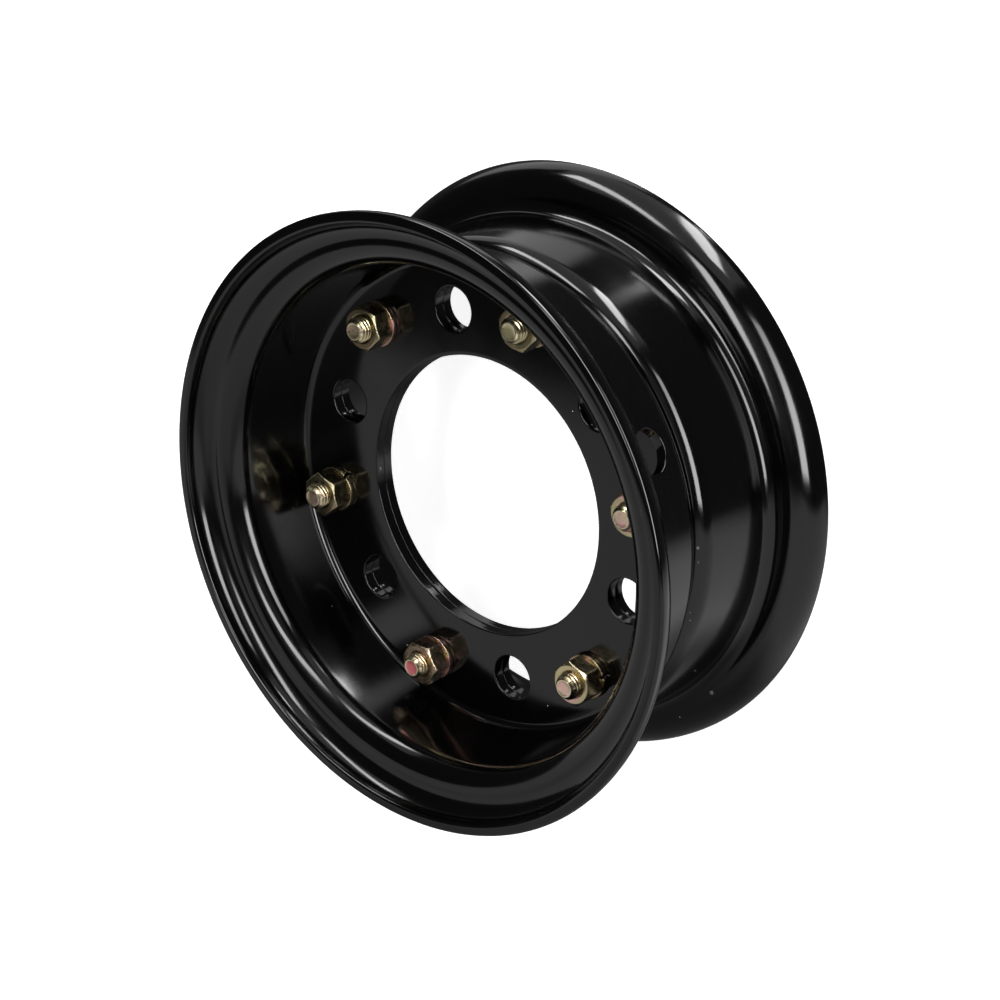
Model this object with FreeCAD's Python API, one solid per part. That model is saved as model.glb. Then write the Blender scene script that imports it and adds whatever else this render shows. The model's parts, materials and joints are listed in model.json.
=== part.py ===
import FreeCAD, Part
import math
import os

# Divided steel wheel rim: two pressed halves clamped back to back by bolts, nuts and spring washers.
# Millimetres and degrees. The wheel axis is Z, the nut side faces +Z, and the origin is the wheel's
# centre, on the plane where the two discs meet. Angles run anticlockwise from +X, seen from +Z.

# Pressed half: the rim contour
sheet_thickness = 4.5
bore_diameter = 111.0
bead_seat_diameter = 203.2      # where the bead seat meets the flange
bead_seat_taper = 5.0           # degrees, falling towards the disc
width_between_flanges = 76.2
flange_height = 17.5            # lip above the bead seat
flange_width = 13.4             # tyre side of the flange to the end of the lip
flange_wall = 0.5               # straight stretch between the heel and the rolled lip
disc_bend_radius = 3.2          # inside radius between disc and drum
heel_radius = 5.0               # tyre-side radius between bead seat and flange
lip_edge_radius = 1.3

# Holes in the discs and the valve hole in the front half's drum
hole_count = 6                  # stud holes, and as many bolts between them
stud_circle_diameter = 146.0
stud_hole_diameter = 17.5
bolt_circle_inset = 23.1        # bolt circle inside the bead seat, on the radius
bolt_clearance = 0.5            # on the diameter, in the discs
valve_hole_diameter = 16.5
valve_hole_offset = 19.6        # from the plane between the discs
valve_hole_angle = 15.0

# Fasteners
bolt_diameter = 10.0
bolt_length = 23.9              # under the head
bolt_end_chamfer = 1.1
hex_width = 16.0                # across flats of head and nut
hex_face_diameter = 15.2        # round face left by the chamfer of head and nut
hex_chamfer_angle = 30.0
head_height = 6.4
nut_height = 8.4
nut_clearance = 0.1             # on the diameter, over the bolt
nut_countersink = 0.5           # depth at each end of the nut's bore
washer_thickness = 2.2
washer_width = 3.9              # radial width of the washer's section
washer_clearance = 0.3          # on the diameter, over the bolt
washer_gap = 1.0                # slit between the ends
washer_slit_angle = 25.0        # lean of the slit from the bolt's axis
nut_turns = [40.0, 33.0, 32.5, 28.5, 46.0, 30.0]        # as tightened, round the bolt circle
slit_turns = [48.5, 18.5, 68.5, 220.5, 18.0, 67.5]
head_turns = [15.0]

HEX_SIDES = 6
EDGE_TOLERANCE = 0.01
PITCH = 360.0 / hole_count
bolt_circle_diameter = bead_seat_diameter - 2 * bolt_circle_inset
Z_AXIS = FreeCAD.Vector(0, 0, 1)
ORIGIN = FreeCAD.Vector(0, 0, 0)


def point(z, radius):
    """A point of the rim's section, in the XZ plane."""
    return FreeCAD.Vector(radius, 0, z)


def arc_point(centre, radius, degrees):
    """A point on a section circle; 0 degrees is towards +Z and 90 is away from the axis."""
    turn = math.radians(degrees)
    return point(centre[0] + radius * math.cos(turn), centre[1] + radius * math.sin(turn))


def arc_edge(centre, radius, first, last):
    """An arc of the section about a centre given as (z, radius)."""
    middle = 0.5 * (first + last)
    ends = [arc_point(centre, radius, angle) for angle in (first, middle, last)]
    return Part.Arc(ends[0], ends[1], ends[2]).toShape()


def line_edge(first, last):
    return Part.LineSegment(first, last).toShape()


def rim_section():
    """Closed section of one pressed half, lying on the +Z side of the plane between the discs."""
    taper = math.radians(bead_seat_taper)
    flange_face = width_between_flanges / 2
    lip_end = flange_face + flange_width
    seat_radius = bead_seat_diameter / 2
    lip_radius = seat_radius + flange_height
    bore_radius = bore_diameter / 2
    bend_outer = disc_bend_radius + sheet_thickness
    heel_outer = heel_radius + sheet_thickness

    # Centres of the three bends, as (z, radius)
    bend_drop = (flange_face - bend_outer) * math.tan(taper) + bend_outer / math.cos(taper)
    bend = (bend_outer, seat_radius - bend_drop)
    heel_rise = heel_radius / math.cos(taper) - heel_radius * math.tan(taper)
    heel = (flange_face - heel_radius, seat_radius + heel_rise)
    roll_start = heel[1] + flange_wall
    roll_rise = lip_radius - roll_start
    roll_outer = (flange_width ** 2 + roll_rise ** 2) / (2 * flange_width)
    roll_inner = roll_outer - sheet_thickness
    roll = (flange_face + roll_outer, roll_start)

    # Angles where the rolled lip meets the plane of its end
    past_centre = lip_end - roll[0]
    outer_end = math.degrees(math.acos(past_centre / roll_outer))
    inner_end = math.degrees(math.acos(past_centre / roll_inner))

    disc_back = point(0, bore_radius)
    disc_face = point(sheet_thickness, bore_radius)
    seat_side = 90.0 + bead_seat_taper
    heel_side = seat_side - 180.0
    edges = [
        line_edge(disc_back, arc_point(bend, bend_outer, 180.0)),
        arc_edge(bend, bend_outer, 180.0, seat_side),
        line_edge(arc_point(bend, bend_outer, seat_side), arc_point(heel, heel_radius, heel_side)),
        arc_edge(heel, heel_radius, heel_side, 0.0),
        line_edge(arc_point(heel, heel_radius, 0.0), arc_point(roll, roll_outer, 180.0)),
        arc_edge(roll, roll_outer, 180.0, outer_end),
        line_edge(arc_point(roll, roll_outer, outer_end), arc_point(roll, roll_inner, inner_end)),
        arc_edge(roll, roll_inner, inner_end, 180.0),
        line_edge(arc_point(roll, roll_inner, 180.0), arc_point(heel, heel_outer, 0.0)),
        arc_edge(heel, heel_outer, 0.0, heel_side),
        line_edge(arc_point(heel, heel_outer, heel_side), arc_point(bend, disc_bend_radius, seat_side)),
        arc_edge(bend, disc_bend_radius, seat_side, 180.0),
        line_edge(arc_point(bend, disc_bend_radius, 180.0), disc_face),
        line_edge(disc_face, disc_back),
    ]
    return Part.Wire(edges), lip_end


def spun_half():
    """The section spun about the wheel axis, with the two edges of the lip rounded."""
    wire, lip_end = rim_section()
    half = Part.Face(wire).revolve(ORIGIN, Z_AXIS, 360)
    lip_edges = [edge for edge in half.Edges
                 if edge.BoundBox.ZMin > lip_end - EDGE_TOLERANCE]
    return half.makeFillet(lip_edge_radius, lip_edges)


def on_circle(diameter, degrees):
    turn = math.radians(degrees)
    return FreeCAD.Vector(diameter / 2 * math.cos(turn), diameter / 2 * math.sin(turn), 0)


def bolt_angle(index):
    return index * PITCH


def stud_angle(index):
    return (index + 0.5) * PITCH


def disc_holes():
    """Drills for the stud holes and bolt holes of one disc."""
    drills = []
    reach = 2 * sheet_thickness
    down = Z_AXIS * (-sheet_thickness / 2)
    for index in range(hole_count):
        stud_place = on_circle(stud_circle_diameter, stud_angle(index)) + down
        bolt_place = on_circle(bolt_circle_diameter, bolt_angle(index)) + down
        drills.append(Part.makeCylinder(stud_hole_diameter / 2, reach, stud_place, Z_AXIS))
        drills.append(Part.makeCylinder((bolt_diameter + bolt_clearance) / 2, reach, bolt_place, Z_AXIS))
    return drills


def valve_drill():
    """Radial drill through the drum of the front half."""
    unit_diameter = 2.0
    outward = on_circle(unit_diameter, valve_hole_angle)
    start = outward * (bore_diameter / 2) + Z_AXIS * valve_hole_offset
    return Part.makeCylinder(valve_hole_diameter / 2, bead_seat_diameter / 2, start, outward)


def facing_rear(shape):
    """A half turned over about the X axis, so that its disc meets the other disc."""
    turned = shape.copy()
    turned.rotate(ORIGIN, FreeCAD.Vector(1, 0, 0), 180)
    return turned


def hex_prism(height):
    """Hexagon prism standing on Z = 0, with a corner on +X."""
    corner_diameter = hex_width / math.cos(math.pi / HEX_SIDES)
    side_angle = 360.0 / HEX_SIDES
    corners = [on_circle(corner_diameter, side_angle * index) for index in range(HEX_SIDES + 1)]
    return Part.Face(Part.makePolygon(corners)).extrude(Z_AXIS * height)


def turned_envelope(height, both_ends):
    """Solid of revolution that cuts the corners of a hexagon prism at its top, or at both ends."""
    slope = math.tan(math.radians(hex_chamfer_angle))
    face_radius = hex_face_diameter / 2
    wide = hex_width
    drop = (wide - face_radius) * slope
    outline = [point(height, 0), point(height, face_radius), point(height - drop, wide)]
    if both_ends:
        outline += [point(drop, wide), point(0, face_radius), point(0, 0)]
    else:
        outline += [point(0, wide), point(0, 0)]
    outline.append(outline[0])
    return Part.Face(Part.makePolygon(outline)).revolve(ORIGIN, Z_AXIS, 360)


def nut_blank():
    """Hexagon nut on Z = 0, chamfered at both ends, with its bore countersunk."""
    body = hex_prism(nut_height).common(turned_envelope(nut_height, True))
    bore_radius = (bolt_diameter + nut_clearance) / 2
    mouth_radius = bore_radius + nut_countersink
    top = Z_AXIS * (nut_height - nut_countersink)
    body = body.cut(Part.makeCylinder(bore_radius, nut_height))
    body = body.cut(Part.makeCone(bore_radius, mouth_radius, nut_countersink, top, Z_AXIS))
    return body.cut(Part.makeCone(mouth_radius, bore_radius, nut_countersink))


def washer_blank():
    """Split ring on Z = 0 with a leaning slit at +X."""
    inner = (bolt_diameter + washer_clearance) / 2
    outer = inner + washer_width
    ring = Part.makeCylinder(outer, washer_thickness).cut(Part.makeCylinder(inner, washer_thickness))
    slit_height = 4 * washer_thickness
    slit = Part.makeBox(outer, washer_gap, slit_height,
                        FreeCAD.Vector(0, -washer_gap / 2, -slit_height / 2))
    slit.rotate(ORIGIN, FreeCAD.Vector(1, 0, 0), washer_slit_angle)
    slit.translate(Z_AXIS * (washer_thickness / 2))
    return ring.cut(slit)


def bolt_blank():
    """Hexagon head bolt with the underside of its head on Z = 0 and its end towards +Z."""
    head = hex_prism(head_height).common(turned_envelope(head_height, False))
    head.rotate(ORIGIN, FreeCAD.Vector(1, 0, 0), 180)
    radius = bolt_diameter / 2
    outline = [point(0, 0), point(0, radius), point(bolt_length - bolt_end_chamfer, radius),
               point(bolt_length, radius - bolt_end_chamfer), point(bolt_length, 0), point(0, 0)]
    shank = Part.Face(Part.makePolygon(outline)).revolve(ORIGIN, Z_AXIS, 360)
    return head.fuse(shank).removeSplitter()


def bolted_row(blank, height, turns):
    """Copies of a fastener round the bolt circle at one height, each with its own turn."""
    copies = []
    for index in range(hole_count):
        piece = blank.copy()
        piece.rotate(ORIGIN, Z_AXIS, bolt_angle(index) + turns[index % len(turns)])
        piece.translate(on_circle(bolt_circle_diameter, bolt_angle(index)) + Z_AXIS * height)
        copies.append(piece)
    return Part.makeCompound(copies)


def main():
    os.makedirs("parts", exist_ok=True)
    drilled_half = spun_half().cut(disc_holes())
    nodes = {
        "front_rim_half": drilled_half.cut(valve_drill()),
        "rear_rim_half": facing_rear(drilled_half),
        "spring_washers": bolted_row(washer_blank(), sheet_thickness, slit_turns),
        "clamp_nuts": bolted_row(nut_blank(), sheet_thickness + washer_thickness, nut_turns),
        "clamp_bolts": bolted_row(bolt_blank(), -sheet_thickness, head_turns),
    }
    for name, shape in nodes.items():
        print(name, len(shape.Solids), "solids", round(shape.Volume), "mm3", shape.isValid())
        shape.exportStep("parts/" + name + ".step")


main()
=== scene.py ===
import json
import math

import bmesh
import bpy
import numpy as np
from bpy.props import FloatProperty, FloatVectorProperty, PointerProperty
from bpy.types import Operator, Panel, PropertyGroup
from mathutils import Matrix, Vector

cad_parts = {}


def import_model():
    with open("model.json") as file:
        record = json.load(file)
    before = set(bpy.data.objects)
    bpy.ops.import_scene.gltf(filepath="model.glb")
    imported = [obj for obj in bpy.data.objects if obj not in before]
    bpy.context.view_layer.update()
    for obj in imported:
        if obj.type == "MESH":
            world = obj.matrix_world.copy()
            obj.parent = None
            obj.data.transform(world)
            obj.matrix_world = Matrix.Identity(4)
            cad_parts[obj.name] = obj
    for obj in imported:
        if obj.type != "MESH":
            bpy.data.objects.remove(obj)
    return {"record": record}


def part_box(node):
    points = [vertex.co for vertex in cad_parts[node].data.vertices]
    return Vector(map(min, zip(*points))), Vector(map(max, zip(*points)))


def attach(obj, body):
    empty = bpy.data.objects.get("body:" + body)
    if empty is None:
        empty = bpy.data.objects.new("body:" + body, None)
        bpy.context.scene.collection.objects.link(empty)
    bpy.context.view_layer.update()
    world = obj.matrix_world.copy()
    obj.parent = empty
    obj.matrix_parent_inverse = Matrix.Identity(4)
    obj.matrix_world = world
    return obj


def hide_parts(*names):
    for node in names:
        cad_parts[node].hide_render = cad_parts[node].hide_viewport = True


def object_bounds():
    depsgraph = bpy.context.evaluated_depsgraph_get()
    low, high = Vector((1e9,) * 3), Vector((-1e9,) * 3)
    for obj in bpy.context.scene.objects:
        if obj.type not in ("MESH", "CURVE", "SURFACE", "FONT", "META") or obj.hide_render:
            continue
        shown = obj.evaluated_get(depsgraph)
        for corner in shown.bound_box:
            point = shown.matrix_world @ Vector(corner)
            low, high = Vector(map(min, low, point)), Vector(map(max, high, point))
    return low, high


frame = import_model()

bl_info = {
    "name": "Divided wheel rim",
    "version": (1, 0, 0),
    "blender": (4, 5, 0),
    "location": "3D View > Sidebar > Rim",
    "description": "Dresses a divided steel wheel rim: painted halves, plated fasteners and a stage",
    "category": "Object",
}

MM = 0.001
CAD_BOX = [list(corner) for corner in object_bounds()]
FRONT_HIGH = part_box("front_rim_half")[1]
NUT_LOW, NUT_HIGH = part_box("clamp_nuts")
BOLT_LOW, BOLT_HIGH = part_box("clamp_bolts")
WASHER_LOW, WASHER_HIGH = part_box("spring_washers")
MOUNTS = {mount["name"]: mount for mount in frame["record"]["mounts"]}
BORE = MOUNTS["center_bore"]["dims"]
STUDS = MOUNTS["stud_holes"]["dims"]
VALVE = MOUNTS["valve_hole"]

HOLES = STUDS["count"]          # stud holes in a disc, and as many clamp bolts
SECTORS = 2 * HOLES
STEPS = 36                      # columns in one sector of the disc
COLUMNS = SECTORS * STEPS
PITCH = 2 * math.pi / HOLES


def length(name, value, text):
    """A length property, in metres."""
    return FloatProperty(name=name, description=text, default=value, unit="LENGTH", precision=5)


def angle(name, degrees, text):
    """An angle property, given in degrees."""
    return FloatProperty(name=name, description=text, default=math.radians(degrees), subtype="ANGLE")


def colour(name, rgb, text):
    """A colour property, in linear red, green and blue."""
    return FloatVectorProperty(
        name=name, description=text, default=rgb, size=3, subtype="COLOR", min=0, max=1)


class RimSizes(PropertyGroup):
    """Sizes of a pressed half, in metres."""
    lip_radius: length("Lip radius", FRONT_HIGH[0], "Outside radius of the rolled lip")
    lip_end: length("Lip end", FRONT_HIGH[2], "Plane between the discs to the end of the lip")
    sheet: length("Sheet", 4.5 * MM, "Thickness of the pressed sheet")
    flange_face: length("Flange face", 38.1 * MM, "Plane between the discs to the tyre side of a flange")
    seat_radius: length("Seat radius", 101.6 * MM, "Bead seat where it meets the flange")
    seat_taper: angle("Seat taper", 5.0, "Fall of the bead seat towards the disc")
    heel_radius: length("Heel radius", 5.0 * MM, "Tyre-side radius between seat and flange")
    bend_radius: length("Bend radius", 3.2 * MM, "Inside radius between disc and drum")
    flange_wall: length("Flange wall", 0.5 * MM, "Straight stretch between heel and lip")
    lip_edge: length("Lip edge", 1.3 * MM, "Rounding of the lip's edges")
    bore_radius: length("Bore radius", BORE["r_mm"] * MM, "Hub bore")
    stud_circle: length("Stud circle", STUDS["pcd_mm"] * MM / 2, "Radius of the stud circle")
    stud_radius: length("Stud hole", STUDS["hole_r_mm"] * MM, "Radius of a stud hole")
    bolt_circle: length("Bolt circle", 78.5 * MM, "Radius of the bolt circle")
    bolt_hole: length("Bolt hole", 5.25 * MM, "Radius of a bolt hole")
    valve_radius: length("Valve hole", VALVE["dims"]["r_mm"] * MM, "Radius of the valve hole")
    valve_height: length("Valve height", VALVE["pos_m"][2], "Valve hole from the plane between the discs")
    valve_angle: angle("Valve angle", 15.0, "Valve hole round the axis from +X")
    hole_edge: length("Hole edge", 0.55 * MM, "Painted rounding at the rim of each hole")
    seam_edge: length("Seam edge", 0.35 * MM, "Rounding of the holes where the discs meet")


class FastenerSizes(PropertyGroup):
    """Sizes of the clamp bolts, nuts and spring washers, in metres."""
    hex_width: length("Across flats", 16.0 * MM, "Nut and bolt head across flats")
    hex_face: length("Face radius", 7.6 * MM, "Round face left by the chamfer")
    bolt_radius: length("Bolt radius", 5.0 * MM, "Crest of the bolt's thread")
    thread_pitch: length("Pitch", 1.5 * MM, "Advance of one thread turn")
    thread_depth: length("Thread depth", 0.92 * MM, "Crest to root of the thread")
    end_chamfer: length("End chamfer", 1.55 * MM, "Chamfer at the bolt's end")
    washer_inner: length("Washer inner", 5.15 * MM, "Inner radius of a spring washer")
    washer_width: length("Washer width", 3.9 * MM, "Radial width of a spring washer")
    washer_gap: length("Washer gap", 1.0 * MM, "Slit between the washer's ends")
    slit_lean: angle("Slit lean", 25.0, "Lean of the slit from the bolt's axis")


class FinishColours(PropertyGroup):
    """Colours of the paint and of the plated fasteners."""
    paint: colour("Paint", (0.0008, 0.0008, 0.0009), "Black paint")
    gold: colour("Gold", (0.78, 0.63, 0.38), "Main tint of the passivate")
    olive: colour("Olive", (0.56, 0.52, 0.29), "Green tint of the passivate")
    pink: colour("Pink", (0.95, 0.56, 0.53), "Pink tint of the passivate")
    red: colour("Red", (0.85, 0.22, 0.23), "Deepest red of the passivate")
    brown: colour("Brown", (0.10, 0.075, 0.045), "Dull brown of a tarnished face")
    # Cream is also painted highlight, on the edges, the thread crests and the bolt end's ring
    cream: colour("Cream", (0.88, 0.78, 0.56), "Bare edges and thread crests")


# Turns of the nuts and of the washers' slits from the bolt's own angle, in degrees, as tightened
NUT_TURNS = (40.0, 33.0, 32.5, 28.5, 46.0, 30.0)
SLIT_TURNS = (48.5, 18.5, 68.5, 220.5, 18.0, 67.5)
HEAD_TURN = 15.0
# How dull and how pink each fastener's plating is, 0 to 1, in the same order
NUT_TARNISH = (0.0, 0.50, 0.76, 0.86, 0.72, 0.0)
NUT_BLUSH = (0.5, 0.1, 0.25, 0.2, 0.5, 0.35)
END_TARNISH = (0.0, 0.0, 0.78, 0.72, 0.15, 0.0)
END_BLUSH = (0.78, 0.2, 0.1, 0.8, 1.0, 0.7)
WASHER_TARNISH = (0.6,)
WASHER_BLUSH = (0.5, 0.3, 0.5, 0.3, 0.6, 0.3)
THREAD_BLUSH = 0.25
# Painted shade: how far the thread roots are darkened, added to the tarnished share
ROOT_SHADE = 0.85


# Shapes: a shell is a list of closed rings of equal length, lofted with quads.
WELD = 0.002 * MM               # points nearer than this are one


def arc(centre, radius, first, last, count):
    """Points (radius from the axis, z) on a section circle; 0 degrees is +Z and 90 is outwards."""
    turn = np.radians(np.linspace(first, last, count))
    return np.stack([centre[1] + radius * np.sin(turn), centre[0] + radius * np.cos(turn)], axis=1)


def run(first, last, count):
    """Evenly spaced points between two section points, without the two ends."""
    share = np.linspace(0, 1, count + 2)[1:-1, None]
    return (1 - share) * np.asarray(first) + share * np.asarray(last)


def spin(profile):
    """Rings of a surface of revolution: each section point carried round the Z axis."""
    turn = np.arange(COLUMNS) * (2 * math.pi / COLUMNS)
    radius, height = profile[:, :1], profile[:, 1:]
    return np.stack([radius * np.cos(turn), radius * np.sin(turn), height + 0 * turn], axis=2)


def loft(rings):
    """Vertices and quads that join neighbouring closed rings, point to point."""
    rows, columns = rings.shape[:2]
    index = np.arange(rows * columns).reshape(rows, columns)
    index = np.concatenate([index, index[:, :1]], axis=1)
    quads = np.stack([index[:-1, :-1], index[:-1, 1:], index[1:, 1:], index[1:, :-1]], axis=2)
    return rings.reshape(-1, 3), quads.reshape(-1, 4)


def moved(shell, turn, place):
    """A shell turned about Z and set at a place."""
    points, quads = shell
    cos, sin = math.cos(turn), math.sin(turn)
    matrix = np.array([[cos, -sin, 0], [sin, cos, 0], [0, 0, 1]])
    return points @ matrix.T + np.asarray(place), quads


def piece(name, node, material, shells, crease=0.0, marks=None):
    """One closed object from several shells, welded where they meet.

    Edges over the crease angle are sharp. Marks are named values for the material, one at each point.
    """
    offsets = np.cumsum([0] + [len(points) for points, quads in shells])
    points = np.concatenate([points for points, quads in shells])
    quads = np.concatenate([quads + start for (part, quads), start in zip(shells, offsets)])
    mesh = bpy.data.meshes.new(name)
    mesh.from_pydata(points, [], quads)
    for mark, values in (marks or {}).items():
        mesh.attributes.new(mark, "FLOAT", "POINT").data.foreach_set("value", np.concatenate(values))
    surface = bmesh.new()
    surface.from_mesh(mesh)
    bmesh.ops.remove_doubles(surface, verts=surface.verts, dist=WELD)
    bmesh.ops.recalc_face_normals(surface, faces=surface.faces)
    open_edges = sum(1 for edge in surface.edges if not edge.is_manifold)
    surface.to_mesh(mesh)
    surface.free()
    if open_edges:
        raise RuntimeError(f"{name} has {open_edges} open edges")
    mesh.shade_smooth()
    if crease:
        mesh.set_sharp_from_angle(angle=crease)
    mesh.materials.append(material)
    thing = bpy.data.objects.new(name, mesh)
    bpy.context.scene.collection.objects.link(thing)
    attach(thing, "root")
    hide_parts(node)
    return thing


# The pressed halves
DISC_MARGIN = 1.8 * MM          # disc kept round the bore
BEND_MARGIN = 0.6 * MM          # disc kept inside the bend
SECTOR_ROWS = 10                # rows of a disc sector's border, from the bore to the bend
PATCH_STEPS = 10                # columns of the drum on each side of the valve hole's patch
PATCH_RISE = 11.0 * MM          # half height of that patch
PATCH_ROWS = 10
BEND_ROWS = (14, 16)            # section points on the bend, inside and outside
HEEL_ROWS = 15
ROLL_ROWS = 18
LIP_ROWS = 10                   # on each rounded edge of the lip
BORE_ROWS = (8, 3, 6)           # on the bore's front edge, its wall and its edge at the seam
SHEAR_TURNS = (23, 37, 53, 71, 97)      # waves round the punched bore
SHEAR_PHASE = 2.4               # radians from one wave to the next
SHEAR_DEPTH = 0.006 * MM        # roughness of the punched bore
SHEAR_FADE = 200                # how fast the roughness dies away from the wall, as a power
EDGE_ANGLES = np.radians(np.linspace(0, 90, 6))                         # rings of a hole's rounding
SPREAD = np.array([0.0, 0.03, 0.1, 0.25, 0.5, 0.75, 1.0])[:, None]      # rings from a hole to its border


class Section:
    """The bends of a pressed half, worked out from its sizes as on the drawing of the sheet."""

    def __init__(self, s):
        self.s = s
        taper = s.seat_taper
        outer_bend = s.bend_radius + s.sheet
        fall = (s.flange_face - outer_bend) * math.tan(taper) + outer_bend / math.cos(taper)
        self.bend = (outer_bend, s.seat_radius - fall)
        rise = s.heel_radius / math.cos(taper) - s.heel_radius * math.tan(taper)
        self.heel = (s.flange_face - s.heel_radius, s.seat_radius + rise)
        start = self.heel[1] + s.flange_wall
        width, height = s.lip_end - s.flange_face, s.lip_radius - start
        self.roll_outer = (width ** 2 + height ** 2) / (2 * width)
        self.roll_inner = self.roll_outer - s.sheet
        self.roll = (s.flange_face + self.roll_outer, start)
        self.disc_inner = s.bore_radius + DISC_MARGIN
        self.disc_outer = self.bend[1] - BEND_MARGIN

    def lip_centre(self, reach):
        """Centre of a lip edge's rounding and the angle of its touch on the roll of that reach."""
        along = self.s.lip_end - self.s.lip_edge - self.roll[0]
        out = math.sqrt(reach ** 2 - along ** 2)
        return (self.roll[0] + along, self.roll[1] + out), math.degrees(math.atan2(out, along))

    def cone_rows(self, first, last):
        """The straight cone between two bends, with rows at both ends of the valve patch."""
        low, high = self.s.valve_height - PATCH_RISE, self.s.valve_height + PATCH_RISE
        if first[1] > last[1]:
            low, high = high, low

        def on_cone(z):
            share = (z - first[1]) / (last[1] - first[1])
            return np.asarray(first) + share * (np.asarray(last) - np.asarray(first))

        start, finish = on_cone(low), on_cone(high)
        patch = np.concatenate([[start], run(start, finish, PATCH_ROWS - 1), [finish]])
        return np.concatenate([run(first, patch[0], 1), patch, run(patch[-1], last, 2)])

    def outline(self):
        """Section from the disc's face round the lip to its back, and the first row of each cone."""
        s = self.s
        side = 90 + math.degrees(s.seat_taper)
        heel_side = side - 180
        inner_bend = arc(self.bend, s.bend_radius, 180, side, BEND_ROWS[0])
        inner_heel = arc(self.heel, s.heel_radius + s.sheet, heel_side, 0, HEEL_ROWS)
        edge_in, touch_in = self.lip_centre(self.roll_inner + s.lip_edge)
        edge_out, touch_out = self.lip_centre(self.roll_outer - s.lip_edge)
        outer_heel = arc(self.heel, s.heel_radius, 0, heel_side, HEEL_ROWS)
        outer_bend = arc(self.bend, s.bend_radius + s.sheet, side, 180, BEND_ROWS[1])
        face = np.array([[self.disc_outer, s.sheet]])
        back = np.array([[self.disc_outer, 0]])
        parts = [
            face, inner_bend, self.cone_rows(inner_bend[-1], inner_heel[0]), inner_heel,
            arc(self.roll, self.roll_inner, 180, touch_in, ROLL_ROWS),
            arc(edge_in, s.lip_edge, touch_in - 180, 0, LIP_ROWS),
            arc(edge_out, s.lip_edge, 0, touch_out, LIP_ROWS),
            arc(self.roll, self.roll_outer, touch_out, 180, ROLL_ROWS),
            outer_heel, self.cone_rows(outer_heel[-1], outer_bend[0]), outer_bend, back,
        ]
        starts = np.cumsum([0] + [len(part) for part in parts])
        return np.concatenate(parts), [starts[2] + 1, starts[9] + 1]

    def bore_strip(self):
        """Section from the disc's face over the bore's rounded edge, down its wall to the disc's back."""
        s = self.s
        edge_rows, wall_rows, seam_rows = BORE_ROWS
        face = np.array([[self.disc_inner, s.sheet]])
        top = arc((s.sheet - s.hole_edge, s.bore_radius + s.hole_edge), s.hole_edge, 0, -90, edge_rows)
        low = arc((s.seam_edge, s.bore_radius + s.seam_edge), s.seam_edge, -90, -180, seam_rows)
        back = np.array([[self.disc_inner, 0]])
        return np.concatenate([face, top, run(top[-1], low[0], wall_rows), low, back])


def sheared(rings, bore):
    """The bore's strip as a punch leaves it: sines round the axis move its wall in and out by a hair."""
    turn = np.arange(rings.shape[1]) * (2 * math.pi / rings.shape[1])
    waves = [np.sin(turns * turn + SHEAR_PHASE * number) for number, turns in enumerate(SHEAR_TURNS)]
    share = np.clip(2 - np.linalg.norm(rings[:, :, :2], axis=2) / bore, 0.0, 1.0) ** SHEAR_FADE
    rings[:, :, :2] *= (1 + SHEAR_DEPTH / bore * np.abs(sum(waves)) * share)[:, :, None]
    return rings


def edge_rings(radius, edge):
    """Hole radius and depth below the face along a quarter-round edge, from the face to the wall."""
    return radius + edge * (1 - np.sin(EDGE_ANGLES)), edge * (1 - np.cos(EDGE_ANGLES))


def hole_sector(section, middle, circle, radius):
    """A 30 degree sector of both faces of the disc with a round hole.

    Rays from the hole's centre join its edge to the sector's border. Between the two faces the rings
    go over the rounded edge, down the wall and over the rounded edge at the seam.
    """
    s = section.s
    half = math.pi / SECTORS
    turn = np.linspace(-half, half, STEPS + 1)
    reach = np.linspace(section.disc_inner, section.disc_outer, SECTOR_ROWS + 1)
    polar = np.concatenate([
        np.stack([0 * turn + section.disc_inner, turn], 1)[:-1],
        np.stack([reach, 0 * reach + half], 1)[:-1],
        np.stack([0 * turn + section.disc_outer, -turn], 1)[:-1],
        np.stack([reach[::-1], 0 * reach - half], 1)[:-1],
    ])
    border = np.stack([polar[:, 0] * np.cos(polar[:, 1]), polar[:, 0] * np.sin(polar[:, 1])], 1)
    ray = border - (circle, 0)
    ray /= np.linalg.norm(ray, axis=1)[:, None]

    def ring(distance, height):
        flat = np.array([circle, 0]) + distance * ray
        return np.concatenate([flat, np.full((len(flat), 1), height)], 1)

    def spread(edge, height):
        start = ring(radius + edge, height)
        finish = np.concatenate([border, np.full((len(border), 1), height)], 1)
        return [(1 - share) * start + share * finish for share in SPREAD]

    top = [ring(r, s.sheet - d) for r, d in zip(*edge_rings(radius, s.hole_edge))]
    low = [ring(r, d) for r, d in zip(*edge_rings(radius, s.seam_edge))]
    rings = spread(s.hole_edge, s.sheet)[::-1] + top[1:] + low[::-1] + spread(s.seam_edge, 0)[1:]
    return moved(loft(np.array(rings)), middle, (0, 0, 0))


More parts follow.
